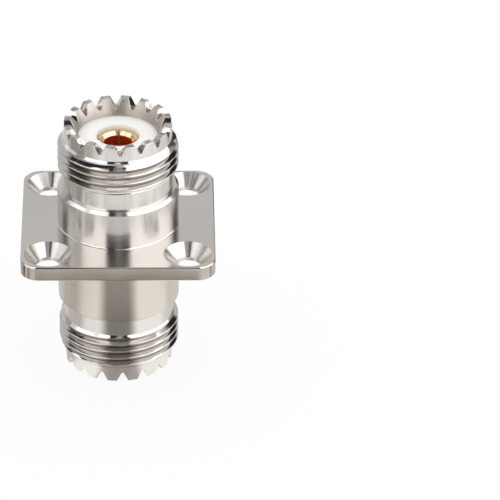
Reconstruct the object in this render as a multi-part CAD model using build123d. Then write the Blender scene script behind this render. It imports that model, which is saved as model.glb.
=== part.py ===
from build123d import *
from math import radians, tan
import os

# Double-ended UHF socket on a square panel flange, in millimetres.
# The axis of the sockets is Z, with the front socket at the top. The origin is where that
# axis meets the flange's lower face, which seats on the panel.

# Square flange with countersunk screw holes
flange_side = 25.4
flange_thickness = 2.0
flange_corner_r = 2.4
flange_edge_break = 0.12
screw_spacing = 18.2
screw_hole_r = 1.65
countersink_r = 3.15

# Turned outside of each end, from the flange outwards
barrel_r = 8.0
barrel_root_fillet = 0.1
front_shoulder = 5.35
rear_shoulder = 9.45
shoulder_chamfer = 0.4
neck_r = 7.25
front_neck = 2.4
rear_neck = 2.62
thread_r = 15.875 / 2
thread_length = 3.25
lead_chamfer = 0.95
rim_r = 7.09
rim_height = 2.0

# Notches that leave the teeth of each rim
notch_count = 16
notch_depth = 1.24
notch_angle = 54
notch_floor = 0.26
front_notch_turn = 2.65
rear_notch_turn = -4.15

# Bore through the body: a mouth cone at each end and a narrower land in the middle
rim_mouth_r = 6.2
mouth_depth = 1.64
bore_r = 5.3
land_r = 4.2
land_length = 3.0

# Insulators, pushed in from both ends until they seat on the land
insulator_recess = 2.0
insulator_clearance = 0.02
finger_gap_r = 2.8
finger_gap_depth = 9.5

# Double-ended contact, held by its collar between the insulators
contact_r = 2.65
contact_clearance = 0.02
contact_recess = 0.7
collar_r = 3.4
contact_mouth_r = 2.3
contact_bore_r = 1.865
contact_bore_depth = 11.5
drill_angle = 118
slot_count = 4
slot_width = 0.22
slot_length = 8.0
front_slot_turn = -3.3
rear_slot_turn = 41.7

# How far a cutter runs past the surface that it cuts
cut_margin = 1.0


# Distance from the flange to the tooth tips of one end
def end_length(shoulder, neck):
    return shoulder + neck + (thread_r - neck_r) + thread_length + lead_chamfer + rim_height


front_tip = flange_thickness + end_length(front_shoulder, front_neck)
rear_tip = -end_length(rear_shoulder, rear_neck)
middle = (front_tip + rear_tip) / 2
half_length = (front_tip - rear_tip) / 2
insulator_face = half_length - insulator_recess
contact_face = insulator_face - contact_recess


# A solid of revolution about Z from corners given as (radius, height)
def turned(*corners):
    return revolve(make_face(Plane.XZ * Polyline(*corners, close=True)), Axis.Z)


# The same cutter at equal turns about Z
def around(cutter, count, turn):
    return [Rot(Z=turn + 360 * k / count) * cutter for k in range(count)]


# Both ends of the inside are alike, so a half built upwards from the middle serves each
def to_front(half):
    return Pos(Z=middle) * half


def to_rear(half):
    return Pos(Z=middle) * Rot(X=180) * half


def screw_hole():
    countersink_depth = countersink_r - screw_hole_r
    straight = Pos(Z=flange_thickness / 2) * Cylinder(screw_hole_r, flange_thickness)
    cone = Cone(screw_hole_r, countersink_r, countersink_depth)
    return straight + Pos(Z=flange_thickness - countersink_depth / 2) * cone


def flange_plate():
    plate = extrude(RectangleRounded(flange_side, flange_side, flange_corner_r), flange_thickness)
    for side in (plate.faces().sort_by(Axis.Z)[-1], plate.faces().sort_by(Axis.Z)[0]):
        plate = chamfer(side.edges(), flange_edge_break)
    for place in GridLocations(screw_spacing, screw_spacing, 2, 2):
        plate -= place * screw_hole()
    return plate


# A radial wedge with a narrow flat floor, as the rim's notching tool leaves it
def notch_cutter(tip):
    low = tip - notch_depth
    high = tip + cut_margin
    half_floor = notch_floor / 2
    half_top = half_floor + (high - low) * tan(radians(notch_angle / 2))
    section = Polyline((-half_floor, low), (half_floor, low), (half_top, high), (-half_top, high), close=True)
    return extrude(make_face(Plane.YZ * section), rim_r + cut_margin)


# The outside of one end, standing on z = 0: barrel, shoulder, neck, thread and toothed rim
def body_end(shoulder, neck, notch_turn):
    neck_end = shoulder + neck
    thread_start = neck_end + thread_r - neck_r
    thread_end = thread_start + thread_length
    rim_root = thread_end + lead_chamfer
    tip = rim_root + rim_height
    solid = turned(
        (0, 0),
        (barrel_r, 0),
        (barrel_r, shoulder - shoulder_chamfer),
        (barrel_r - shoulder_chamfer, shoulder),
        (neck_r, shoulder),
        (neck_r, neck_end),
        (thread_r, thread_start),
        (thread_r, thread_end),
        (rim_r, rim_root),
        (rim_r, tip),
        (0, tip),
    )
    return solid - around(notch_cutter(tip), notch_count, notch_turn)


# Half of the bore, from inside the land to past the tooth tips
def bore_cutter():
    land_face = land_length / 2
    return turned(
        (0, 0),
        (land_r, 0),
        (land_r, land_face),
        (bore_r, land_face),
        (bore_r, half_length - mouth_depth),
        (rim_mouth_r, half_length),
        (rim_mouth_r, half_length + cut_margin),
        (0, half_length + cut_margin),
    )


# One turned piece: the flange, both threaded ends and the stepped bore
def flange_body():
    body = flange_plate()
    body += Pos(Z=flange_thickness) * body_end(front_shoulder, front_neck, front_notch_turn)
    body += Rot(X=180) * body_end(rear_shoulder, rear_neck, rear_notch_turn)
    flange_top = body.edges().filter_by_position(Axis.Z, flange_thickness, flange_thickness)
    root = flange_top.filter_by(GeomType.CIRCLE).filter_by(lambda edge: abs(edge.radius - barrel_r) < 1e-6)
    body = fillet(root, barrel_root_fillet)
    return body - to_front(bore_cutter()) - to_rear(bore_cutter())


# A sleeve whose outer part leaves the contact's fingers room to spring open
def insulator():
    outer_r = bore_r - insulator_clearance
    grip_r = contact_r + contact_clearance
    gap_floor = insulator_face - finger_gap_depth
    return turned(
        (grip_r, land_length / 2),
        (outer_r, land_length / 2),
        (outer_r, insulator_face),
        (finger_gap_r, insulator_face),
        (finger_gap_r, gap_floor),
        (grip_r, gap_floor),
    )


# Half of the contact, from the middle of its collar to the mouth that takes the plug's pin
def contact_half(slot_turn):
    bore_floor = contact_face - contact_bore_depth
    drill_point = contact_bore_r / tan(radians(drill_angle / 2))
    solid = turned(
        (0, 0),
        (collar_r, 0),
        (collar_r, land_length / 2),
        (contact_r, land_length / 2),
        (contact_r, contact_face),
        (contact_mouth_r, contact_face),
        (contact_bore_r, contact_face - (contact_mouth_r - contact_bore_r)),
        (contact_bore_r, bore_floor),
        (0, bore_floor - drill_point),
    )
    cutter_length = slot_length + cut_margin
    slot = Box(contact_r + cut_margin, slot_width, cutter_length)
    slot = Pos(X=(contact_r + cut_margin) / 2, Z=contact_face - slot_length + cutter_length / 2) * slot
    return solid - around(slot, slot_count, slot_turn)


def centre_contact():
    return to_front(contact_half(front_slot_turn)) + to_rear(contact_half(rear_slot_turn))


nodes = {
    "flange_body": flange_body(),
    "front_insulator": to_front(insulator()),
    "rear_insulator": to_rear(insulator()),
    "centre_contact": centre_contact(),
}

os.makedirs("parts", exist_ok=True)
for name, solid in nodes.items():
    export_step(solid, f"parts/{name}.step")
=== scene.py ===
import math

import bmesh
import bpy
import numpy as np
from mathutils import Matrix, Vector, geometry


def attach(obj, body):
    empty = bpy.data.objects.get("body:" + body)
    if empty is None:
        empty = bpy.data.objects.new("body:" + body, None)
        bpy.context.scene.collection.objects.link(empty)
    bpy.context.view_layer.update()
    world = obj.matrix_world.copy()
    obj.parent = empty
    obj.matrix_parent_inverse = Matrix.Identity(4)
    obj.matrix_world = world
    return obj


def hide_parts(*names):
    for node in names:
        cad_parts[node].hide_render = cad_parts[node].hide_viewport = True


# A panel-mount coaxial through-socket: nickel-plated brass body with a square flange,
# two white fluoropolymer sleeves and one gold-plated contact. All sizes below are in
# millimetres on the connector's axis, with the flange's lower face at height 0.

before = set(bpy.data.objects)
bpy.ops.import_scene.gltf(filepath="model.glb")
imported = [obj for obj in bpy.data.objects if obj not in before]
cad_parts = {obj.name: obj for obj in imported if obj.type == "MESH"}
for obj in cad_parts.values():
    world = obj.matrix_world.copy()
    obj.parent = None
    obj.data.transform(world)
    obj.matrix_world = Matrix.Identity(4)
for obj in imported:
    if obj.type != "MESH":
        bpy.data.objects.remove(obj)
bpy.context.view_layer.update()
scene = bpy.context.scene
scene.view_settings.view_transform = "Standard"
mm = 0.001


# Shape helpers

# A vector divided by its length
def unit(v):
    return v / np.linalg.norm(v)


# Equal steps once round the axis
def evenTurns(count):
    return np.arange(count) * 2 * math.pi / count


# A run of straight lines in the plane whose inner corners become arcs: each arc touches
# both lines at radius / tan(half the corner), and a point just past each arc's end keeps
# the flats flat when they are shaded smooth.
def softRun(corners, radii, steps=4, hold=0.03):
    corners = np.array(corners, float)
    points = [corners[:1]]
    for before, here, after, radius in zip(corners, corners[1:], corners[2:], radii):
        if radius == 0:
            points.append(here[None])
            continue
        back, ahead = unit(before - here), unit(after - here)
        half = math.acos(np.clip(back @ ahead, -1, 1)) / 2
        reach = radius / math.tan(half)
        centre = here + unit(back + ahead) * radius / math.sin(half)
        first, last = here + back * reach - centre, here + ahead * reach - centre
        angle, t = math.pi - 2 * half, np.linspace(0, 1, steps)[:, None]
        arc = centre + (np.sin((1 - t) * angle) * first + np.sin(t * angle) * last) / math.sin(angle)
        points += [(here + back * (reach + hold))[None], arc, (here + ahead * (reach + hold))[None]]
    points.append(corners[-1:])
    return np.concatenate(points)


# Points by radius, angle and height: x = r cos a, y = r sin a, z = h
def polar(radius, angle, height):
    return np.stack([radius * np.cos(angle), radius * np.sin(angle), height], -1)


# A run of (radius, height) turned about the axis
def turned(run, angles):
    return polar(run[:, :1], angles, run[:, 1:] + 0 * angles)


# Quads between neighbouring rows and columns of a grid that closes round the axis
def gridFaces(rows, columns):
    index = np.arange(rows * columns).reshape(rows, columns)
    beside = np.roll(index, -1, 1)
    return np.stack([index[:-1], beside[:-1], beside[1:], index[1:]], -1).reshape(-1, 4)


# A grid of points as one patch: the points in a row, and their quads
def gridPatch(points):
    return points.reshape(-1, 3), gridFaces(*points.shape[:2])


# Triangles between two rings with different numbers of points: the edges of both rings are
# put in order of their middle angle, and each one joins the other ring's point reached so far
def zipPatch(ringA, ringB):
    def inOrder(ring):
        angle = np.arctan2(ring[:, 1], ring[:, 0]) % (2 * math.pi)
        order = np.argsort(angle)
        angle = angle[order]
        return ring[order], (angle + np.append(angle[1:], angle[0] + 2 * math.pi)) / 2
    a, middleA = inOrder(ringA)
    b, middleB = inOrder(ringB)
    i, k = np.arange(len(a)), np.arange(len(b))
    reachedB = np.searchsorted(middleB, middleA) % len(b)
    reachedA = np.searchsorted(middleA, middleB, side="right") % len(a)
    onA = np.stack([i, (i + 1) % len(a), len(a) + reachedB], 1)
    onB = np.stack([len(a) + (k + 1) % len(b), len(a) + k, reachedA], 1)
    return np.concatenate([a, b]), np.concatenate([onA, onB])


# The patches of one piece become one mesh: equal points are merged, normals turned outwards
def makePiece(name, patches, sharpAngle=52):
    mergeWithin, noEdgeUnder = 3e-7, 1e-8  # metres
    points, faces, start = [], [], 0
    for patchPoints, patchFaces in patches:
        points.append(patchPoints)
        faces += (patchFaces + start).tolist()
        start += len(patchPoints)
    mesh = bpy.data.meshes.new(name)
    mesh.from_pydata((np.concatenate(points) * mm).tolist(), [], faces)
    work = bmesh.new()
    work.from_mesh(mesh)
    bmesh.ops.remove_doubles(work, verts=work.verts, dist=mergeWithin)
    bmesh.ops.dissolve_degenerate(work, edges=work.edges, dist=noEdgeUnder)
    bmesh.ops.recalc_face_normals(work, faces=work.faces)
    openEdges = sum(1 for edge in work.edges if len(edge.link_faces) != 2)
    volume = work.calc_volume(signed=True)
    work.to_mesh(mesh)
    work.free()
    mesh.shade_smooth()
    mesh.set_sharp_from_angle(angle=math.radians(sharpAngle))
    piece = bpy.data.objects.new(name, mesh)
    scene.collection.objects.link(piece)
    triangles = sum(len(p.vertices) - 2 for p in mesh.polygons)
    print("made", name, triangles, "triangles, open edges", openEdges, "volume mm3", round(volume / mm ** 3, 1))
    return piece


# The connector's body

bodySize = {
    "columns": 240, "screwColumns": 80, "cornerPoints": 17,
    "flangeSide": 25.4, "flangeThickness": 2.0, "flangeCornerRadius": 2.4, "flangeEdgeBreak": 0.15,
    "screwSpacing": 18.2, "screwRadius": 1.65, "countersinkRadius": 3.15,
    "barrelRadius": 8.0, "shoulderChamfer": 0.4, "neckRadius": 7.25,
    "leadChamfer": 0.95, "leadHollow": 0.07, "rimRadius": 7.09, "rimHeight": 2.0,
    "boreRadius": 5.3, "mouthRadius": 6.2, "mouthDepth": 1.64, "landRadius": 4.2, "landTop": 0.34, "landLow": -2.66,
    # rounds of the small edges, in the order of each outline's corners
    "outsideRounds": (0.03, 0.05, 0.05, 0.04), "rimRootRound": 0.12, "boreRound": 0.05,
    "flangeRound": 0.03, "screwRounds": (0.05, 0.05, 0.03),
    # the flange's flat faces end this far from the barrels' roots, the holes and the side
    "rootGap": 0.05, "screwGap": 0.12, "sideGap": 0.3,
}
threadSize = {
    "radius": 15.875 / 2, "pitch": 25.4 / 24, "depth": 0.6475, "flankAngle": 30, "crestShare": 0.125,
    "crestRound": 0.035, "grooveRound": 0.06, "rowStep": 0.11, "blend": 0.03,
    # the helical rows start and end a little inside the cones
    "startInside": 0.035, "endInside": 0.2,
}
toothSize = {
    "count": 16, "depth": 1.24, "angle": 54, "floor": 0.26, "floorRound": 0.1, "tipRound": 0.1, "edge": 0.05,
    # under the notches: where the teeth's own columns end, and where the body's even columns begin
    "wallDrop": 0.18, "evenDrop": 0.3,
}
# One end each: root is the fillet at the flange, and crest the height of the thread's crest at
# angle 0, seen from the end
frontEnd = {"root": 0.16, "shoulder": 5.35, "neck": 2.4, "threadLength": 3.25, "toothTurn": 2.65, "crest": 9.915}
rearEnd = {"root": 0.05, "shoulder": 9.45, "neck": 2.3, "threadLength": 3.57, "toothTurn": -4.15, "crest": 14.735}

# Heights above the flange that follow from these
for end in (frontEnd, rearEnd):
    end["neckEnd"] = end["shoulder"] + end["neck"]
    end["crestLow"] = end["neckEnd"] + threadSize["radius"] - bodySize["neckRadius"]
    end["crestHigh"] = end["crestLow"] + end["threadLength"]
    end["rimRoot"] = end["crestHigh"] + bodySize["leadChamfer"]
    end["tip"] = end["rimRoot"] + bodySize["rimHeight"]
    end["evenTop"] = end["tip"] - toothSize["depth"] - toothSize["evenDrop"]

frontTip, rearTip = bodySize["flangeThickness"] + frontEnd["tip"], -rearEnd["tip"]
middle, halfLength = (frontTip + rearTip) / 2, (frontTip - rearTip) / 2
evenAngles = evenTurns(bodySize["columns"])


# Radius of the plain cones at both ends of a thread, by height above the flange. The lead-in
# cone is hollowed by 4 hollow t (1 - t).
def coneRadius(size, end, height):
    t = np.clip((height - end["crestHigh"]) / size["leadChamfer"], 0, 1)
    cone = np.interp(height, [end["neckEnd"], end["crestLow"], end["crestHigh"], end["rimRoot"]],
                     [size["neckRadius"], threadSize["radius"], threadSize["radius"], size["rimRadius"]])
    return cone - 4 * size["leadHollow"] * t * (1 - t)


# Radius of the cone inside a rim, by height above the tooth tips
def mouthRadius(size, height):
    return size["mouthRadius"] + (size["mouthRadius"] - size["boreRadius"]) / size["mouthDepth"] * height


# A right-handed thread between two cones. Rows of points follow the helix,
# height = crest + pitch * turns + place in the profile, held between the zone's ends, and
# radius = the lower of the thread's profile and the cones, blended over a few hundredths.
def threadPatch(size, thread, end):
    pitch, depth, width = thread["pitch"], thread["depth"], thread["blend"]
    low, high = end["neckEnd"] + thread["startInside"], end["rimRoot"] - thread["endInside"]
    crestHalf, flank = pitch * thread["crestShare"] / 2, depth * math.tan(math.radians(thread["flankAngle"]))
    corners = [(0, 0), (crestHalf, 0), (crestHalf + flank, depth), (pitch / 2, depth)]
    half = softRun(corners, (thread["crestRound"], thread["grooveRound"]), steps=3, hold=0.04)
    half = half[np.append(True, half[1:, 0] > 0.02)]  # the crest is too narrow for a point beside its middle
    place = np.concatenate([half[:, 0], pitch - half[-2:0:-1, 0]])
    drop = np.concatenate([half[:, 1], half[-2:0:-1, 1]])
    # long flanks get rows between, for the cones that cut them
    coarse = np.append(place, pitch)
    place = np.concatenate([np.linspace(a, b, max(1, round((b - a) / thread["rowStep"])), endpoint=False)
                            for a, b in zip(coarse, coarse[1:])])
    drop = np.interp(place, coarse, np.append(drop, 0))

    turns = evenAngles / (2 * math.pi)
    first = math.floor((low - end["crest"]) / pitch) - 2
    count = math.ceil((high - low) / pitch) + 3
    along = (pitch * (first + np.arange(count))[:, None] + place).ravel()
    height = end["crest"] + pitch * turns + along[:, None]
    columns = np.arange(len(turns))
    # the nearest row steps onto the line where crest and cone meet
    for knot in (end["crestLow"], end["crestHigh"]):
        height[np.abs(height - knot).argmin(0), columns] = knot
    height = np.clip(height, low, high)
    phase = (height - end["crest"] - pitch * turns) % pitch
    groove = thread["radius"] - np.interp(phase, np.append(place, pitch), np.append(drop, 0))
    cone = coneRadius(size, end, height)
    blend = np.clip(width - np.abs(groove - cone), 0, None) / width
    radius = np.minimum(groove, cone) - blend ** 2 * width / 4
    radius = np.where((height > low) & (height < high), radius, cone)

    # rows that were held at an end all use the one row there, and lose their faces
    rows, hair = len(height), 1e-9
    lowRow = (height <= low + hair).sum(0) - 1
    highRow = rows - (height >= high - hair).sum(0)
    index = np.clip(np.arange(rows)[:, None], lowRow, highRow) * len(columns) + columns
    # one turn on, a column meets itself a pitch higher
    shifted = np.clip(np.arange(rows) + len(place), 0, rows - 1)
    beside = np.concatenate([index[:, 1:], index[shifted][:, :1]], 1)
    a, b, c, d = index[:-1], beside[:-1], beside[1:], index[1:]
    faces = np.stack([a, b, c, a, c, d], -1).reshape(-1, 3)
    real = (faces[:, 0] != faces[:, 1]) & (faces[:, 1] != faces[:, 2]) & (faces[:, 0] != faces[:, 2])
    return polar(radius, evenAngles, height).reshape(-1, 3), faces[real]


# The toothed rim's top, and the walls just below it. One notch is a run of (offset, height)
# from its floor's middle to the crown's middle, mirrored and repeated. A column stands at
# angle = notch + asin(offset / radius), because the notch is cut with parallel flanks; rounds
# along the outer and inner edge move the run along its own normal by e (1 - cos t) while the
# radius moves by e (1 - sin t).
def toothPatches(size, tooth, end):
    edge, depth, tip = tooth["edge"], tooth["depth"], end["tip"]
    edgeHold, landHold, crownRun = 0.02, 0.04, 0.3  # the crown's run only gives its direction
    half = math.radians(180 / tooth["count"])
    topOffset = tooth["floor"] / 2 + depth * math.tan(math.radians(tooth["angle"] / 2))
    corners = [(0, -depth), (tooth["floor"] / 2, -depth), (topOffset, 0), (topOffset + crownRun, 0)]
    steps, lean = 4, math.radians(90 - tooth["angle"] / 2)
    run = softRun(corners, (tooth["floorRound"], tooth["tipRound"]), steps=steps, hold=landHold)[:-1]
    rise = np.linspace(0, lean, steps)
    tilt = np.concatenate([[0, 0], rise, [lean, lean], rise[::-1], [0]])
    normal = np.stack([-np.sin(tilt), np.cos(tilt)], -1)
    crown = np.array([0.5, 1.0])  # share of the way from the last column to the crown's middle

    def outer(height):
        return size["rimRadius"] + 0 * height

    def inner(height):
        return mouthRadius(size, height)

    def ring(wallRadius, inset, offset):
        moved = run - offset * normal
        height = np.append(moved[:, 1], np.full(2, -offset))
        reach = wallRadius(height) + inset
        angle = np.arcsin(moved[:, 0] / reach[:len(run)])
        last = np.arcsin(moved[-1, 0] / reach[-2:])
        angle = np.append(angle, last + crown * (half - last))
        angle = np.concatenate([-angle[:0:-1], angle[:-1]])  # mirrored, crown middle to crown
        reach, height = (np.tile(np.concatenate([v[:0:-1], v[:-1]]), tooth["count"]) for v in (reach, height))
        turn = math.radians(end["toothTurn"]) + 2 * half * np.arange(tooth["count"])
        return polar(reach, (turn[:, None] + angle).ravel(), tip + height)

    # each wall runs straight down from the rounded edge to a level ring under the notches
    def wall(edgeRing, wallRadius):
        angle = np.arctan2(edgeRing[:, 1], edgeRing[:, 0])
        share = np.linspace(0, 1, steps)[:, None]
        height = edgeRing[:, 2] * (1 - share) + (tip - depth - tooth["wallDrop"]) * share
        return polar(wallRadius(height - tip), angle, height)

    rounds = [(edge * (1 - math.sin(t)), edge * (1 - math.cos(t))) for t in np.radians([90, 60, 30, 0])]
    profile = [(0, edge + edgeHold), *rounds, (edge + landHold, 0)]
    top = np.stack([ring(outer, -inset, offset) for inset, offset in profile]
                   + [ring(inner, inset, offset) for inset, offset in profile[::-1]])
    outerWall, innerWall = wall(top[0], outer), wall(top[-1], inner)
    return [gridPatch(outerWall[::-1]), gridPatch(top), gridPatch(innerWall)], outerWall[-1], innerWall[-1]


# The outside of one end, from just off the flange to the tooth tips, standing on height 0
def endPatches(size, thread, tooth, end):
    barrel, neck, rim, chamfer = (size[k] for k in ("barrelRadius", "neckRadius", "rimRadius", "shoulderChamfer"))
    shoulder, neckEnd, start = end["shoulder"], end["neckEnd"], thread["startInside"]
    coneEnd = end["rimRoot"] - thread["endInside"]
    lowRun = softRun(
        [(barrel + end["root"] + size["rootGap"], 0), (barrel, 0), (barrel, shoulder - chamfer),
         (barrel - chamfer, shoulder), (neck, shoulder), (neck, neckEnd), (neck + start, neckEnd + start)],
        (end["root"], *size["outsideRounds"]), hold=0.015)
    highRun = softRun(
        [(float(coneRadius(size, end, coneEnd)), coneEnd), (rim, end["rimRoot"]), (rim, end["evenTop"])],
        (size["rimRootRound"],), hold=0.02)
    high = turned(highRun, evenAngles)
    innerRadius = mouthRadius(size, -tooth["depth"] - tooth["evenDrop"])
    inner = turned(np.array([(innerRadius, end["evenTop"])]), evenAngles)[0]
    teeth, outerRing, innerRing = toothPatches(size, tooth, end)
    return [
        gridPatch(turned(lowRun, evenAngles)),
        threadPatch(size, thread, end),
        gridPatch(high),
        zipPatch(high[-1], outerRing),
        *teeth,
        zipPatch(innerRing, inner),
    ]


# A half turn about X brings an end to the rear, and keeps its thread right-handed
def toRear(patches):
    return [(points * (1, -1, -1), faces) for points, faces in patches]


# Patches moved up: z + lift
def lifted(patches, lift):
    return [(points + (0, 0, lift), faces) for points, faces in patches]


# A square with rounded corners, set in by a distance d: corner arcs of radius R - d
def squareRing(size, inset, height):
    radius, count = size["flangeCornerRadius"], size["cornerPoints"]
    quarters = np.arange(4) * math.pi / 2
    angle = (np.linspace(0, math.pi / 2, count) + quarters[:, None]).ravel()
    toCorner = np.repeat(quarters + math.pi / 4, count)
    diagonal = (size["flangeSide"] / 2 - radius) * math.sqrt(2)
    x = diagonal * np.cos(toCorner) + (radius - inset) * np.cos(angle)
    y = diagonal * np.sin(toCorner) + (radius - inset) * np.sin(angle)
    return np.stack([x, y, height + 0 * x], -1)


# A flat face between an outline and the rings of its holes: triangles over everything, of
# which those whose middle lies in a hole are dropped
def flatPatch(outline, holes):
    rings, slack = [outline, *holes], 0.9998
    points = np.concatenate(rings)
    starts = np.cumsum([0] + [len(r) for r in rings])
    edges = [(int(s + i), int(s + (i + 1) % len(r))) for s, r in zip(starts, rings) for i in range(len(r))]
    flat, _, faces, *_ = geometry.delaunay_2d_cdt([Vector(p[:2]) for p in points], edges, [], 0, 1e-7)
    flat, faces = np.array([tuple(p) for p in flat]), np.array(faces)
    centres = flat[faces].mean(1)
    keep = np.ones(len(faces), bool)
    for ring in holes:
        hole = ring[:, :2].mean(0)
        keep &= np.linalg.norm(centres - hole, axis=1) > np.linalg.norm(ring[0, :2] - hole) * slack
    return np.column_stack([flat, np.full(len(flat), points[0, 2])]), faces[keep]


# Flange: the side is a run of (inset, height) carried round the square, and each screw hole
# a run of (radius, height) turned about its own axis
def flangePatches(size):
    thick, edgeBreak, gap = size["flangeThickness"], size["flangeEdgeBreak"], size["sideGap"]
    side = softRun(
        [(gap, 0), (edgeBreak, 0), (0, edgeBreak), (0, thick - edgeBreak), (edgeBreak, thick), (gap, thick)],
        [size["flangeRound"]] * 4, steps=3, hold=0.02)
    sidePoints = np.stack([squareRing(size, inset, height) for inset, height in side])
    screw, sink, gap = size["screwRadius"], size["countersinkRadius"], size["screwGap"]
    hole = softRun([(sink + gap, thick), (sink, thick), (screw, thick - sink + screw), (screw, 0), (screw + gap, 0)],
                   size["screwRounds"], steps=4, hold=0.02)
    holePoints, spacing = turned(hole, evenTurns(size["screwColumns"])), size["screwSpacing"]
    patches, topRings, lowRings = [gridPatch(sidePoints)], [], []
    for x in (-1, 1):
        for y in (-1, 1):
            points = holePoints + (x * spacing / 2, y * spacing / 2, 0)
            patches.append(gridPatch(points))
            topRings.append(points[0])
            lowRings.append(points[-1])
    for end, height, rings in ((frontEnd, thick, topRings), (rearEnd, 0.0, lowRings)):
        reach = size["barrelRadius"] + end["root"] + size["rootGap"]
        rings.append(turned(np.array([(reach, height)]), evenAngles)[0])
    return patches + [flatPatch(sidePoints[-1], topRings), flatPatch(sidePoints[0], lowRings)]


# Both ends and the flange, and the bore as a run of (radius, height) turned about the axis
def makeBody(size, thread, tooth):
    lift, bore, mouthDepth = size["flangeThickness"], size["boreRadius"], size["mouthDepth"]
    land, landTop, landLow = size["landRadius"], size["landTop"], size["landLow"]
    ringRadius = mouthRadius(size, -tooth["depth"] - tooth["evenDrop"])
    boreRun = softRun(
        [(ringRadius, frontEnd["evenTop"] + lift), (bore, frontTip - mouthDepth), (bore, landTop), (land, landTop),
         (land, landLow), (bore, landLow), (bore, rearTip + mouthDepth), (ringRadius, -rearEnd["evenTop"])],
        (size["boreRound"], 0, 0, 0, 0, size["boreRound"]), steps=3, hold=0.02)
    patches = lifted(endPatches(size, thread, tooth, frontEnd), lift)
    patches += toRear(endPatches(size, thread, tooth, rearEnd))
    patches += flangePatches(size) + [gridPatch(turned(boreRun, evenAngles))]
    return makePiece("bodyShell", patches)


bodyShell = makeBody(bodySize, threadSize, toothSize)

# How near a point lies to count as on a surface, and how far each zone reaches
markSize = {
    "near": 0.02, "nearBarrel": 0.012, "edgeClear": 0.05, "countersinkOver": 0.06, "countersinkLow": 0.4,
    "millInset": 0.07, "millDepth": 1.3, "mouthOver": 0.1, "cornerInset": 0.03,
    "chamferFrom": 1.0, "chamferShare": 0.45,
}


# How each part of the body was finished, kept on its points for the material:
# grooveDepth = the cone or crest radius at that height, less the point's own radius, which also
# sets the painted shade in the thread's roots; barrelWall = 1 on the straight walls of the barrels;
# mouthWall = 1 on the mouth's cones; millCut = 1 on the flanks and tops of the teeth;
# sawnShadedSide = 1 on the flange's sides, which are rougher and darkened by painted shade;
# dullCut = 1 in the countersinks and a share of it on the barrels' chamfers
def markFinish(piece, size, mark):
    points = np.empty(len(piece.data.vertices) * 3)
    piece.data.vertices.foreach_get("co", points)
    points = points.reshape(-1, 3) / mm
    radius, height = np.hypot(points[:, 0], points[:, 1]), points[:, 2]
    near, clear, thick = mark["near"], mark["edgeClear"], size["flangeThickness"]

    fromScrew = np.hypot(*(np.abs(points[:, :2]) - size["screwSpacing"] / 2).T)
    inSink = (fromScrew < size["countersinkRadius"] + mark["countersinkOver"]) & (height > mark["countersinkLow"])
    dullCut = np.where(inSink, 1.0, 0.0)
    grooveDepth, barrelWall = np.zeros(len(radius)), np.zeros(len(radius))
    for end, fromFlange in ((frontEnd, height - thick), (rearEnd, -height)):
        shoulder = end["shoulder"]
        threaded = (fromFlange > end["neckEnd"]) & (fromFlange < end["rimRoot"]) & (radius > size["rimRadius"])
        below = np.clip(coneRadius(size, end, fromFlange) - radius, 0, None)
        grooveDepth = np.where(threaded, below, grooveDepth)
        onWall = np.abs(radius - size["barrelRadius"]) < mark["nearBarrel"]
        barrelWall = np.where(onWall & (fromFlange > clear) & (fromFlange < shoulder), 1.0, barrelWall)
        offChamfer = radius + fromFlange - (size["barrelRadius"] + shoulder - size["shoulderChamfer"])
        onChamfer = (np.abs(offChamfer) < near) & (fromFlange > mark["chamferFrom"])
        dullCut = np.where(onChamfer & (fromFlange < shoulder + near / 2), mark["chamferShare"], dullCut)

    fromTip = np.abs(height - middle) - halfLength
    mouth = mouthRadius(size, fromTip)
    onMouth = (np.abs(radius - mouth) < near) & (fromTip > -size["mouthDepth"] - mark["mouthOver"])
    inset = mark["millInset"]
    onTeeth = (radius > mouth + inset) & (radius < size["rimRadius"] - inset) & (fromTip > -mark["millDepth"])
    corner = size["flangeCornerRadius"]
    pastStraight = np.clip(np.abs(points[:, :2]) - (size["flangeSide"] / 2 - corner), 0, None)
    onSide = np.hypot(*pastStraight.T) > corner - mark["cornerInset"]
    onSide &= (height > clear) & (height < thick - clear)
    marks = {"grooveDepth": grooveDepth, "barrelWall": barrelWall, "mouthWall": np.where(onMouth, 1.0, 0.0),
             "millCut": np.where(onTeeth, 1.0, 0.0), "sawnShadedSide": np.where(onSide, 1.0, 0.0), "dullCut": dullCut}
    for name, values in marks.items():
        piece.data.attributes.new(name, "FLOAT", "POINT").data.foreach_set("value", values)
    print("marked", *marks)


markFinish(bodyShell, bodySize, markSize)


# Insulating sleeves: a closed run of (radius, height) turned about the axis

sleeveSize = {
    "columns": 160, "outerRadius": 5.28, "recess": 2.0, "fingerGap": 2.8, "gapDepth": 9.5, "gripRadius": 2.67,
    "seat": 1.5, "edge": 0.16, "innerRounds": (0.04, 0.03, 0.03),
}


def makeSleeve(name, size, atRear=False):
    face, edge = halfLength - size["recess"], size["edge"]
    outer, gap, grip = size["outerRadius"], size["fingerGap"], size["gripRadius"]
    seat, gapFloor, middleRadius = size["seat"], face - size["gapDepth"], (gap + outer) / 2
    corners = [(middleRadius, face), (outer, face), (outer, seat), (grip, seat),
               (grip, gapFloor), (gap, gapFloor), (gap, face), (middleRadius, face)]
    run = softRun(corners, (edge, edge, *size["innerRounds"], edge), steps=5, hold=0.04)
    patches = [gridPatch(turned(run, evenTurns(size["columns"])))]
    return makePiece(name, lifted(toRear(patches) if atRear else patches, middle))


frontSleeve = makeSleeve("frontSleeve", sleeveSize)
rearSleeve = makeSleeve("rearSleeve", sleeveSize, atRear=True)


# The contact: collar, slotted fingers and a drilled bore at each end

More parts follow.
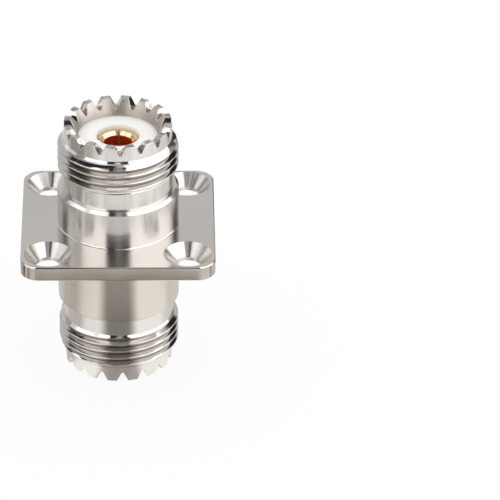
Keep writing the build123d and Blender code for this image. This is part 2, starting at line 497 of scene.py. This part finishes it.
contactSize = {
    "radius": 2.65, "collarRadius": 3.4, "collarHalf": 1.5, "recess": 2.7, "mouthRadius": 2.3,
    "boreRadius": 1.865, "boreDepth": 11.5, "drillAngle": 118, "drillTip": 0.02, "slots": 4, "slotWidth": 0.22,
    "slotLength": 8.0, "frontSlotTurn": -3.3, "rearSlotTurn": 41.7, "fingerColumns": 30, "seamHeight": 0.05,
    "fingerRounds": (0.05, 0.04, 0.04), "collarRounds": (0.08, 0.03), "leastRadius": 0.5, "sharpAngle": 35,
}


# One end of the contact and the ring at its collar's middle. Between two slots a finger's
# column stands at angle = slot + asin(half width / radius) at its sides and evenly spaced
# between, so that the slots have parallel walls. Inside a least radius the angles stay the same.
def contactEnd(size, turn):
    face, slots, count = halfLength - size["recess"], size["slots"], size["fingerColumns"]
    outer, bore, mouth, collar = (size[k] for k in ("radius", "boreRadius", "mouthRadius", "collarRadius"))
    floor, slotLow = face - size["boreDepth"], face - size["slotLength"]
    point = floor - bore / math.tan(math.radians(size["drillAngle"] / 2))

    def patchOf(run):
        quarter = 2 * math.pi / slots
        side = np.arcsin(size["slotWidth"] / 2 / np.maximum(run[:, 0], size["leastRadius"]))[:, None]
        angle = side + np.linspace(0, 1, count)[None, :] * (quarter - 2 * side)
        turns = math.radians(turn) + quarter * np.arange(slots)
        angle = (turns[None, :, None] + angle[:, None, :]).reshape(len(run), -1)
        return polar(run[:, :1], angle, run[:, 1:] + 0 * angle)

    finger = patchOf(softRun(
        [(outer, slotLow), (outer, face), (mouth, face), (bore, face - mouth + bore), (bore, slotLow)],
        size["fingerRounds"], steps=4, hold=0.03))
    rows, width = finger.shape[:2]
    isSlot = np.tile(np.arange(width), rows - 1) % count == count - 1
    patches = [(finger.reshape(-1, 3), gridFaces(rows, width)[~isSlot])]
    # each wall of a slot is one face, bounded by the finger's own outline
    for k in range(slots):
        for column in (k * count, k * count + count - 1):
            patches.append((finger[:, column], np.arange(rows)[None, :]))

    collarTop = size["collarHalf"]
    baseOuter = patchOf(softRun(
        [(collar, size["seamHeight"]), (collar, collarTop), (outer, collarTop), (outer, slotLow)],
        size["collarRounds"], steps=4, hold=0.03))
    baseInner = patchOf(np.array([(bore, slotLow), (bore, floor), (size["drillTip"], point)]))
    patches += [gridPatch(baseOuter), gridPatch(baseInner), (baseInner[-1], np.arange(width)[None, :])]
    for k in range(slots):  # the slots' floors
        c, d = k * count - 1, k * count
        corners = np.stack([baseOuter[-1, c], baseOuter[-1, d], baseInner[0, d], baseInner[0, c]])
        patches.append((corners, np.array([[0, 1, 2, 3]])))
    return patches, baseOuter[0]


# Two ends, joined round the collar and moved to the connector's middle
def makeContact(size):
    front, frontSeam = contactEnd(size, size["frontSlotTurn"])
    rear, rearSeam = contactEnd(size, size["rearSlotTurn"])
    patches = front + toRear(rear) + [zipPatch(frontSeam, rearSeam * (1, -1, -1))]
    return makePiece("goldContact", lifted(patches, middle), size["sharpAngle"])


goldContact = makeContact(contactSize)

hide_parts("flange_body")
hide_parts("front_insulator")
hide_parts("rear_insulator")
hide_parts("centre_contact")
for piece, slotName in ((bodyShell, "nickel_plate"), (frontSleeve, "insulator"),
                        (rearSleeve, "insulator"), (goldContact, "gold_plate")):
    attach(piece, "root")
print("pieces in place")


# Materials

# sRGB hex to linear: c / 12.92 below 0.04045, else ((c + 0.055) / 1.055) ^ 2.4
def toLinear(hexColour):
    c = np.array([int(hexColour[i:i + 2], 16) for i in (1, 3, 5)]) / 255
    return (*np.where(c <= 0.04045, c / 12.92, ((c + 0.055) / 1.055) ** 2.4), 1.0)


# A node with its settings and links: a setting in small letters is the node's own, any
# other is a socket's
def addNode(tree, kind, settings=None, links=None):
    node = tree.nodes.new(kind)
    for name, value in (settings or {}).items():
        if isinstance(name, str) and name.islower():
            setattr(node, name, value)
        else:
            node.inputs[name].default_value = value
    for name, source in (links or {}).items():
        tree.links.new(source, node.inputs[name])
    return node


# A material whose node tree is still empty
def newMaterial(name):
    material = bpy.data.materials.new(name)
    material.use_nodes = True
    tree = material.node_tree
    tree.nodes.clear()
    return material, tree


# Colours one over another, each by its own share
def layColours(tree, colour, layers):
    for share, hexColour in layers:
        settings = {"data_type": "RGBA", 7: toLinear(hexColour)}
        colour = addNode(tree, "ShaderNodeMix", settings, {0: share, 6: colour}).outputs[2]
    return colour


# Distance from the axis in metres: the length of (x, y, 0)
def radiusOf(tree, place):
    level = addNode(tree, "ShaderNodeMapping", {"Scale": (1, 1, 0)}, {0: place})
    return addNode(tree, "ShaderNodeVectorMath", {"operation": "LENGTH"}, {0: level.outputs[0]}).outputs["Value"]


# Distance from the connector's middle along the axis in metres: |z - middle|
def outwardOf(tree, height):
    fromMiddle = addNode(tree, "ShaderNodeMath", {"operation": "SUBTRACT", 1: middle * mm}, {0: height})
    return addNode(tree, "ShaderNodeMath", {"operation": "ABSOLUTE"}, {0: fromMiddle.outputs[0]}).outputs[0]


# Lathe rings: noise that is long round about and squeezed along the axis
def ringNoise(tree, place, run, width, settings):
    scale = (1 / (run * mm), 1 / (run * mm), 1 / (width * mm))
    squeeze = addNode(tree, "ShaderNodeMapping", {"Scale": scale}, {0: place})
    return addNode(tree, "ShaderNodeTexNoise", {"Scale": 1.0, **settings}, {"Vector": squeeze.outputs[0]}).outputs[0]


nickelLook = {
    # colours; side and root are painted shade, low and warmReflectionRearBarrel a painted warm reflection
    "bright": "#E0DCD8", "cloudy": "#D8D4D0", "barrel": "#D4D0CB", "low": "#DCD8D3", "warmReflectionRearBarrel": "#D5CDC4",
    "side": "#BDB5AC", "flank": "#D6D2CD", "root": "#8A847E", "mouth": "#F2EAE2", "mouthLow": "#DBD1C6",
    "milled": "#D8D3CD", "scratched": "#A29C95",
    # roughness
    "wall": 0.22, "chamfer": 0.08, "flat": 0.1, "flangeSide": 0.12, "dull": 0.26, "groove": 0.08, "cut": 0.06,
    "satin": 0.55, "stretch": 0.96,
    # millimetres: where groove, root and mouth shade in, and the patterns
    "grooveFrom": 0.03, "grooveFull": 0.1, "rootFrom": 0.44, "rootFull": 0.6, "mouthFrom": 0.5, "mouthFull": 1.75,
    "patchSize": 3.85, "toneSize": 11.1, "markSize": 0.67, "ringRun": 16.7, "ringSpacing": 0.16,
    "ringDepth": 0.0008, "ringStrength": 0.35,
}


# Brass turned on a lathe, then bright nickel plated: a warm silver metal. The tool's fine
# rings run round the axis, so walls draw what they mirror out along the axis into long
# streaks. Edges, flats, threads and teeth mirror more crisply, the countersinks and the
# shoulders' chamfers less, and the mouth's cone is satin. Painted shade darkens the thread's
# roots and the flange's sides, and a painted warm reflection tints the rear end.
def nickelPlate(look):
    material, tree = newMaterial("turnedNickelPlate")
    place = addNode(tree, "ShaderNodeTexCoord").outputs["Object"]
    facing = addNode(tree, "ShaderNodeNewGeometry")
    groove, barrel, mouth, milled, sawnShaded, dulled = (
        addNode(tree, "ShaderNodeAttribute", {"attribute_name": name}).outputs["Fac"]
        for name in ("grooveDepth", "barrelWall", "mouthWall", "millCut", "sawnShadedSide", "dullCut"))

    # how far a face points up or down: 0 on walls, 0.7 on chamfers, 1 on flats
    upward = addNode(tree, "ShaderNodeSeparateXYZ", {}, {0: facing.outputs["Normal"]})
    steep = addNode(tree, "ShaderNodeMath", {"operation": "ABSOLUTE"}, {0: upward.outputs[2]}).outputs[0]
    flatFrom, flatFull = 0.96, 0.995
    toFlat = addNode(tree, "ShaderNodeMapRange", {"From Min": flatFrom, "From Max": flatFull}, {0: steep}).outputs[0]
    inGroove = addNode(tree, "ShaderNodeMapRange", {"From Min": look["grooveFrom"], "From Max": look["grooveFull"]},
                       {0: groove}).outputs[0]
    # painted shade: the thread's roots are darkened in colour
    rootShade = addNode(tree, "ShaderNodeMapRange", {"From Min": look["rootFrom"], "From Max": look["rootFull"]},
                     {0: groove}).outputs[0]

    # roughness by surface, from walls (under 0.08) to chamfers (over 0.3), a little uneven
    finish = addNode(tree, "ShaderNodeMapRange", {
        "From Min": 0.08, "From Max": 0.3, "To Min": look["wall"], "To Max": look["chamfer"]}, {0: steep}).outputs[0]
    for share, value in ((sawnShaded, look["flangeSide"]), (dulled, look["dull"]), (toFlat, look["flat"]),
                         (inGroove, look["groove"]), (milled, look["cut"]), (mouth, look["satin"])):
        finish = addNode(tree, "ShaderNodeMix", {3: value}, {0: share, 2: finish}).outputs[0]
    patches, mottle, tone = (addNode(tree, "ShaderNodeTexNoise", {
        "Scale": 1 / (look[size] * mm), "Detail": detail}, {"Vector": place}).outputs[0]
        for size, detail in (("patchSize", 3.0), ("markSize", 3.0), ("toneSize", 2.0)))
    uneven = addNode(tree, "ShaderNodeMapRange", {
        "From Min": 0.3, "From Max": 0.7, "To Min": 0.9, "To Max": 1.12}, {0: patches})
    roughness = addNode(tree, "ShaderNodeMath", {"operation": "MULTIPLY"}, {0: finish, 1: uneven.outputs[0]})

    # the noise's base is four rings wide and its third layer draws the rings, coarser than the
    # real feed of 0.05 mm, which is too fine for a pixel
    rings = ringNoise(tree, place, look["ringRun"], 4 * look["ringSpacing"], {"Detail": 4.0, "Roughness": 0.6})
    bump = addNode(tree, "ShaderNodeBump", {"Strength": look["ringStrength"], "Distance": look["ringDepth"] * mm},
                   {"Height": rings})

    # the mouth's wall darkens towards the insulator, where it only sees itself
    height = addNode(tree, "ShaderNodeSeparateXYZ", {}, {0: place}).outputs[2]
    deep = addNode(tree, "ShaderNodeMapRange", {
        "interpolation_type": "SMOOTHSTEP", "From Min": (halfLength - look["mouthFull"]) * mm,
        "From Max": (halfLength - look["mouthFrom"]) * mm, "To Min": 1.0, "To Max": 0.0},
        {0: outwardOf(tree, height)})
    lowMouth = addNode(tree, "ShaderNodeMath", {"operation": "MULTIPLY"}, {0: mouth, 1: deep.outputs[0]}).outputs[0]
    # painted reflection: the rear end is tinted a little warmer
    warmReflectionRear = addNode(tree, "ShaderNodeMapRange", {
        "From Min": -0.1 * mm, "From Max": 0.0, "To Min": 1.0, "To Max": 0.0}, {0: height}).outputs[0]
    warmReflectionRearBarrel = addNode(tree, "ShaderNodeMath", {"operation": "MULTIPLY"}, {0: warmReflectionRear, 1: barrel}).outputs[0]
    # the cutter left mottled marks on the teeth
    marks = addNode(tree, "ShaderNodeMapRange", {"From Min": 0.45, "From Max": 0.6}, {0: mottle})
    marked = addNode(tree, "ShaderNodeMath", {"operation": "MULTIPLY"}, {0: milled, 1: marks.outputs[0]}).outputs[0]
    colour = addNode(tree, "ShaderNodeMix", {
        "data_type": "RGBA", 6: toLinear(look["bright"]), 7: toLinear(look["cloudy"])}, {0: tone}).outputs[2]
    # painted shade on the flange's sides and in the thread's roots, and a painted warm reflection on the rear end
    colour = layColours(tree, colour, (
        (barrel, look["barrel"]), (warmReflectionRear, look["low"]), (warmReflectionRearBarrel, look["warmReflectionRearBarrel"]), (sawnShaded, look["side"]),
        (mouth, look["mouth"]), (lowMouth, look["mouthLow"]), (inGroove, look["flank"]), (rootShade, look["root"]),
        (milled, look["milled"]), (marked, look["scratched"])))

    # the streaks run along the axis on every turned surface, and along X on the ground flange faces
    along = addNode(tree, "ShaderNodeMapRange", {
        "From Min": flatFrom, "From Max": flatFull, "To Min": 1.0, "To Max": 0.0}, {0: steep})
    grain = addNode(tree, "ShaderNodeCombineXYZ", {}, {0: toFlat, 2: along.outputs[0]})
    shader = addNode(tree, "ShaderNodeBsdfPrincipled", {"Metallic": 1.0, "Anisotropic": look["stretch"]}, {
        "Base Color": colour, "Roughness": roughness.outputs[0], "Normal": bump.outputs[0],
        "Tangent": grain.outputs[0]})
    addNode(tree, "ShaderNodeOutputMaterial", {}, {"Surface": shader.outputs[0]})
    return material


sleeveLook = {
    # goldReflection and deep are the gold's painted warm reflection on the white
    "colour": "#FCF8F5", "cloudy": "#F8F4F1", "goldReflection": "#FFF6EA", "deep": "#FFE0BA", "roughness": 0.42, "spread": 0.05,
    # millimetres: the gold's painted warm reflection round the contact and in the hole below its face, and the clouds
    "goldReflectionFull": 2.78, "goldReflectionEnd": 3.15, "deepFrom": 2.6, "deepFull": 2.9, "cloudSize": 2.5,
    "cloudDepth": 0.002, "cloudStrength": 0.2, "lightReach": 1.3, "ior": 1.38,
}


# Fluoropolymer turned from rod: milky white and waxy. Light spreads under its skin, so the
# hole's wall hardly shades. The gold's warm reflection is painted round the contact and in the hole.
def whiteSleeve(look):
    material, tree = newMaterial("turnedFluoropolymer")
    place = addNode(tree, "ShaderNodeTexCoord").outputs["Object"]
    cloud = addNode(tree, "ShaderNodeTexNoise", {"Scale": 1 / (look["cloudSize"] * mm), "Detail": 3.0},
                    {"Vector": place}).outputs[0]
    shade = addNode(tree, "ShaderNodeMapRange", {
        "To Min": look["roughness"] - look["spread"], "To Max": look["roughness"] + look["spread"]}, {0: cloud})
    tint = addNode(tree, "ShaderNodeMix", {
        "data_type": "RGBA", 6: toLinear(look["colour"]), 7: toLinear(look["cloudy"])}, {0: cloud})
    goldReflectionRing = addNode(tree, "ShaderNodeMapRange", {
        "interpolation_type": "SMOOTHSTEP", "From Min": look["goldReflectionFull"] * mm, "From Max": look["goldReflectionEnd"] * mm,
        "To Min": 1.0, "To Max": 0.0}, {0: radiusOf(tree, place)}).outputs[0]
    # painted reflection: below the contact's face the hole is tinted by the gold, which is all it sees
    height = addNode(tree, "ShaderNodeSeparateXYZ", {}, {0: place}).outputs[2]
    below = addNode(tree, "ShaderNodeMapRange", {
        "From Min": (halfLength - look["deepFull"]) * mm, "From Max": (halfLength - look["deepFrom"]) * mm,
        "To Min": 1.0, "To Max": 0.0}, {0: outwardOf(tree, height)})
    goldReflectionInHole = addNode(tree, "ShaderNodeMath", {"operation": "MULTIPLY"}, {0: below.outputs[0], 1: goldReflectionRing}).outputs[0]
    colour = layColours(tree, tint.outputs[2], ((goldReflectionRing, look["goldReflection"]), (goldReflectionInHole, look["deep"])))
    bump = addNode(tree, "ShaderNodeBump", {"Strength": look["cloudStrength"], "Distance": look["cloudDepth"] * mm},
                   {"Height": cloud})
    shader = addNode(tree, "ShaderNodeBsdfPrincipled", {
        "IOR": look["ior"], "Subsurface Weight": 1.0, "Subsurface Scale": look["lightReach"] * mm,
        "Subsurface Radius": (1.0, 1.0, 1.0)},
        {"Base Color": colour, "Roughness": shade.outputs[0], "Normal": bump.outputs[0]})
    addNode(tree, "ShaderNodeOutputMaterial", {}, {"Surface": shader.outputs[0]})
    return material


goldLook = {
    "colour": "#F8DCB6", "bore": "#F97F49", "polished": 0.16, "bored": 0.46,
    # millimetres
    "boreFull": 1.87, "boreEnd": 1.93, "ringRun": 5.0, "ringSpacing": 0.33, "ringDepth": 0.001, "ringStrength": 0.4,
}


# Gold over nickel on a turned contact: pale warm yellow, polished by the plating bath. The
# bore's dull copper red is a painted reflection: the deep red of gold that mirrors itself many
# times. The rings are drawn coarser than the real feed of 0.05 mm.
def goldPlate(look):
    material, tree = newMaterial("polishedGoldPlate")
    place = addNode(tree, "ShaderNodeTexCoord").outputs["Object"]
    rings = ringNoise(tree, place, look["ringRun"], look["ringSpacing"], {"Detail": 3.0})
    inBore = addNode(tree, "ShaderNodeMapRange", {
        "From Min": look["boreFull"] * mm, "From Max": look["boreEnd"] * mm, "To Min": 1.0, "To Max": 0.0},
        {0: radiusOf(tree, place)}).outputs[0]
    finish = addNode(tree, "ShaderNodeMix", {2: look["polished"], 3: look["bored"]}, {0: inBore})
    uneven = addNode(tree, "ShaderNodeMapRange", {"To Min": 0.8, "To Max": 1.2}, {0: rings})
    shade = addNode(tree, "ShaderNodeMath", {"operation": "MULTIPLY"}, {0: finish.outputs[0], 1: uneven.outputs[0]})
    # painted reflection: the bore's copper red
    colour = addNode(tree, "ShaderNodeMix", {
        "data_type": "RGBA", 6: toLinear(look["colour"]), 7: toLinear(look["bore"])}, {0: inBore})
    bump = addNode(tree, "ShaderNodeBump", {"Strength": look["ringStrength"], "Distance": look["ringDepth"] * mm},
                   {"Height": rings})
    shader = addNode(tree, "ShaderNodeBsdfPrincipled", {"Metallic": 1.0}, {
        "Base Color": colour.outputs[2], "Roughness": shade.outputs[0], "Normal": bump.outputs[0]})
    addNode(tree, "ShaderNodeOutputMaterial", {}, {"Surface": shader.outputs[0]})
    return material


bodyShell.data.materials.append(nickelPlate(nickelLook))
sleeveMaterial = whiteSleeve(sleeveLook)
frontSleeve.data.materials.append(sleeveMaterial)
rearSleeve.data.materials.append(sleeveMaterial)
goldContact.data.materials.append(goldPlate(goldLook))
print("materials done")


# Floor, light and camera

# What surrounds the connector. Each panel is (azimuth from, to), (elevation from, to), strength,
# (softness of each), in degrees: azimuth 0 is the camera's side and 90 the right. A later panel
# covers the ones before it, and strength 1 is white.
studioLook = {
    "base": 0.65, "mattLift": 0.14,
    "panels": [
        ((-112, -70), (-8, 44), 0.8, (4, 4)),
        ((-94, -72), (16, 38), 0.34, (4, 4)),
        ((-137, -112), (14, 25), 0.45, (4, 4)),
        ((-132, -114), (25, 48), 0.02, (3, 3)),
        ((-128, -92), (-8, 10), 1.2, (4, 4)),
        ((-150, 30), (44, 100), 0.03, (3, 3)),
        ((-116, -68), (34, 48), 1.8, (3, 2)),
        ((-70, -22), (-12, 62), 1.8, (3, 2)),
        ((23, 118), (-14, 84), 1.95, (3, 3)),
        ((118, 142), (-6, 12), 0.1, (3, 3)),
        ((121, 142), (12, 24), 0.35, (3, 3)),
        ((127, 152), (24, 48), 0.02, (3, 3)),
        ((-23, 22), (-20, 80), 0.05, (2, 3)),
        ((-23, 22), (37, 80), 0.03, (2, 3)),
        ((-3, 12), (55, 63), 0.4, (3, 3)),
        ((0, 18), (29, 35), 0.3, (4, 4)),
        ((-6, 6), (38, 50), 1.2, (4, 3)),
        ((-15, 23), (65, 86), 0.5, (3, 2)),
        ((-190, 190), (84, 100), 0.6, (2, 2)),
    ],
}
# The same for the floor as the metal mirrors it, with millimetres from the axis in place of
# elevation: brighter at the right, with a soft shadow in front
floorLook = {
    "paper": "#F4F4F4", "dim": "#FFF4E8", "cameraWhite": 0.9, "reach": 1600, "base": 0.85,
    "panels": [
        ((-160, -66), (-50, 900), 0.66, (12, 14)),
        ((-66, 24), (-50, 900), 1.05, (10, 12)),
        ((24, 92), (-50, 900), 1.15, (10, 12)),
        ((92, 150), (-50, 900), 0.85, (14, 14)),
        ((-170, -113), (-50, 300), 0.8, (6, 12)),
        ((-112, -54), (68, 300), 0.25, (6, 4)),
        ((-112, -40), (85, 300), 0.04, (8, 10)),
        ((118, 162), (95, 1800), 0.04, (4, 8)),
        ((-110, -50), (43, 55), 0.48, (3, 1.5)),
        ((-150, -113), (43, 55), 0.08, (3, 1.5)),
        ((-92, -77), (43, 55), 0.12, (3, 1.5)),
        ((-76, -69), (43, 55), 1.3, (2.5, 1.5)),
        ((-50, -31), (43, 55), 0.9, (3, 1.5)),
        ((-29, -13), (43, 55), 0.5, (3, 1.5)),
        ((74, 82), (43, 52), 0.1, (2.5, 1.5)),
        ((129, 148), (43, 58), 0.02, (2.5, 1.5)),
        ((24, 92), (52.3, 57), 0.6, (6, 1)),
        ((-13, 22), (47, 130), 1.0, (3, 1.5)),
        ((-22, 22), (55, 60), 4.2, (2, 1.5)),
        ((-22, 22), (62, 75), 0.5, (2, 1.5)),
        ((-27, 26), (-50, 48), 0.22, (11, 2)),
        ((-66, -24), (-50, 14), 1.2, (8, 2)),
        ((-24, 24), (-50, 14), 0.46, (8, 2)),
    ],
}


# Panels one over another: each one's window is the product of four smooth steps
def layPanels(tree, across, along, look):
    value = None
    for acrossSpan, alongSpan, strength, softness in look["panels"]:
        window = None
        for source, span, soft in ((across, acrossSpan, softness[0]), (along, alongSpan, softness[1])):
            for edge, low, high in ((span[0], 0.0, 1.0), (span[1], 1.0, 0.0)):
                step = addNode(tree, "ShaderNodeMapRange", {
                    "interpolation_type": "SMOOTHSTEP", "From Min": edge - soft, "From Max": edge + soft,
                    "To Min": low, "To Max": high}, {0: source}).outputs[0]
                window = step if window is None else addNode(
                    tree, "ShaderNodeMath", {"operation": "MULTIPLY"}, {0: window, 1: step}).outputs[0]
        links = {0: window} if value is None else {0: window, 2: value}
        value = addNode(tree, "ShaderNodeMix", {2: look["base"], 3: strength}, links).outputs[0]
    return value


# Azimuth in degrees from the camera's side: the angle of (x, -y)
def azimuthOf(tree, split):
    flip = addNode(tree, "ShaderNodeMath", {"operation": "MULTIPLY", 1: -1.0}, {0: split.outputs[1]})
    angle = addNode(tree, "ShaderNodeMath", {"operation": "ARCTAN2"}, {0: split.outputs[0], 1: flip.outputs[0]})
    return addNode(tree, "ShaderNodeMath", {"operation": "DEGREES"}, {0: angle.outputs[0]}).outputs[0]


# What the eye and matt surfaces see, or what metal mirrors and glass passes on
def splitByRay(tree, ray, seen, mirrored):
    either = addNode(tree, "ShaderNodeMath", {"operation": "MAXIMUM"},
                     {0: ray.outputs["Is Glossy Ray"], 1: ray.outputs["Is Transmission Ray"]})
    links = {"Fac": either.outputs[0], 1: seen.outputs[0], 2: mirrored.outputs[0]}
    return addNode(tree, "ShaderNodeMixShader", {}, links).outputs[0]


# A sheet at the connector's foot: white paper for the eye, a soft studio for the metal
def makeFloor(low, look):
    reach = look["reach"] * mm
    corners = [(-reach, -reach, low), (reach, -reach, low), (reach, reach, low), (-reach, reach, low)]
    mesh = bpy.data.meshes.new("studioFloor")
    mesh.from_pydata(corners, [], [(0, 1, 2, 3)])
    floor = bpy.data.objects.new("studioFloor", mesh)
    scene.collection.objects.link(floor)
    material, tree = newMaterial("whitePaperFloor")
    ray = addNode(tree, "ShaderNodeLightPath")
    paper = addNode(tree, "ShaderNodeBsdfDiffuse", {"Color": toLinear(look["paper"])})
    bright = addNode(tree, "ShaderNodeEmission", {"Strength": 1.0})
    shown = addNode(tree, "ShaderNodeMath", {"operation": "MULTIPLY", 1: look["cameraWhite"]},
                    {0: ray.outputs["Is Camera Ray"]})
    seen = addNode(tree, "ShaderNodeMixShader", {},
                   {"Fac": shown.outputs[0], 1: paper.outputs[0], 2: bright.outputs[0]})
    place = addNode(tree, "ShaderNodeTexCoord").outputs["Object"]
    split = addNode(tree, "ShaderNodeSeparateXYZ", {}, {0: place})
    away = addNode(tree, "ShaderNodeMath", {"operation": "MULTIPLY", 1: 1 / mm}, {0: radiusOf(tree, place)})
    strength = layPanels(tree, azimuthOf(tree, split), away.outputs[0], look)
    # its dim parts are a little warmer
    white = (1, 1, 1, 1)
    tint = addNode(tree, "ShaderNodeMix", {"data_type": "RGBA", 6: toLinear(look["dim"]), 7: white}, {0: strength})
    mirrored = addNode(tree, "ShaderNodeEmission", {}, {"Color": tint.outputs[2], "Strength": strength})
    front = splitByRay(tree, ray, seen, mirrored)
    # from below it is clear
    clear = addNode(tree, "ShaderNodeBsdfTransparent")
    side = addNode(tree, "ShaderNodeNewGeometry")
    both = addNode(tree, "ShaderNodeMixShader", {},
                   {"Fac": side.outputs["Backfacing"], 1: front, 2: clear.outputs[0]})
    addNode(tree, "ShaderNodeOutputMaterial", {}, {"Surface": both.outputs[0]})
    mesh.materials.append(material)


# White for the eye; the metal sees the studio's panels by azimuth and elevation = asin(z)
def makeWorld(look):
    world = bpy.data.worlds.new("softStudio")
    scene.world = world
    world.use_nodes = True
    world.cycles.sampling_method = "NONE"  # each ray looks at its own side of the studio
    tree = world.node_tree
    tree.nodes.clear()
    ray = addNode(tree, "ShaderNodeLightPath")
    place = addNode(tree, "ShaderNodeTexCoord")
    split = addNode(tree, "ShaderNodeSeparateXYZ", {}, {0: place.outputs["Generated"]})
    rise = addNode(tree, "ShaderNodeMath", {"operation": "ARCSINE"}, {0: split.outputs[2]})
    elevation = addNode(tree, "ShaderNodeMath", {"operation": "DEGREES"}, {0: rise.outputs[0]})
    strength = layPanels(tree, azimuthOf(tree, split), elevation.outputs[0], look)
    # white for the camera, and a little stronger where it lights matt surfaces
    lift = addNode(tree, "ShaderNodeMath", {"operation": "MULTIPLY_ADD", 1: look["mattLift"], 2: 1.0},
                   {0: ray.outputs["Is Diffuse Ray"]})
    white, studio = (addNode(tree, "ShaderNodeBackground", {"Color": (1, 1, 1, 1)}, {"Strength": level})
                     for level in (lift.outputs[0], strength))
    addNode(tree, "ShaderNodeOutputWorld", {}, {"Surface": splitByRay(tree, ray, white, studio)})


makeFloor(rearTip * mm, floorLook)
makeWorld(studioLook)
print("floor and studio done")

# The camera stands at the photograph's angle, aimed a little to the right of the connector
cameraView = {"azimuth": 0.409, "elevation": 30.584, "roll": -0.291, "distance": 593.8, "target": (0, 0, 2.0),
              "pixelsPerMm": 7.572, "targetPixel": (118.36, 218.22), "frame": 500, "sensor": 36, "clip": (10, 10000)}


# back = (sin a cos e, -cos a cos e, sin e) and right = (cos a, sin a, 0), turned by the roll.
# The lens gives the scale in pixels per mm at the target, and the camera is then turned until
# the target lies on its pixel.
def makeCamera(view):
    a, e, roll = (math.radians(view[k]) for k in ("azimuth", "elevation", "roll"))
    back = Vector((math.sin(a) * math.cos(e), -math.cos(a) * math.cos(e), math.sin(e)))
    right = Vector((math.cos(a), math.sin(a), 0))
    up = back.cross(right)
    right, up = right * math.cos(roll) + up * math.sin(roll), up * math.cos(roll) - right * math.sin(roll)
    level = Matrix((right, up, back)).transposed()
    focal, centre = view["pixelsPerMm"] * view["distance"], view["frame"] / 2
    toTarget = Vector((view["targetPixel"][0] - centre, centre - view["targetPixel"][1], -focal))
    aim = toTarget.rotation_difference(Vector((0, 0, -1))).to_matrix()
    camera = bpy.data.cameras.new("camera")
    camera.sensor_width = view["sensor"]
    camera.lens = focal / view["frame"] * view["sensor"]
    camera.clip_start, camera.clip_end = (distance * mm for distance in view["clip"])
    holder = bpy.data.objects.new("camera", camera)
    scene.collection.objects.link(holder)
    place = Vector(view["target"]) * mm + back * view["distance"] * mm
    holder.matrix_world = Matrix.Translation(place) @ (level @ aim).to_4x4()
    scene.camera = holder


makeCamera(cameraView)

print("scene ready")
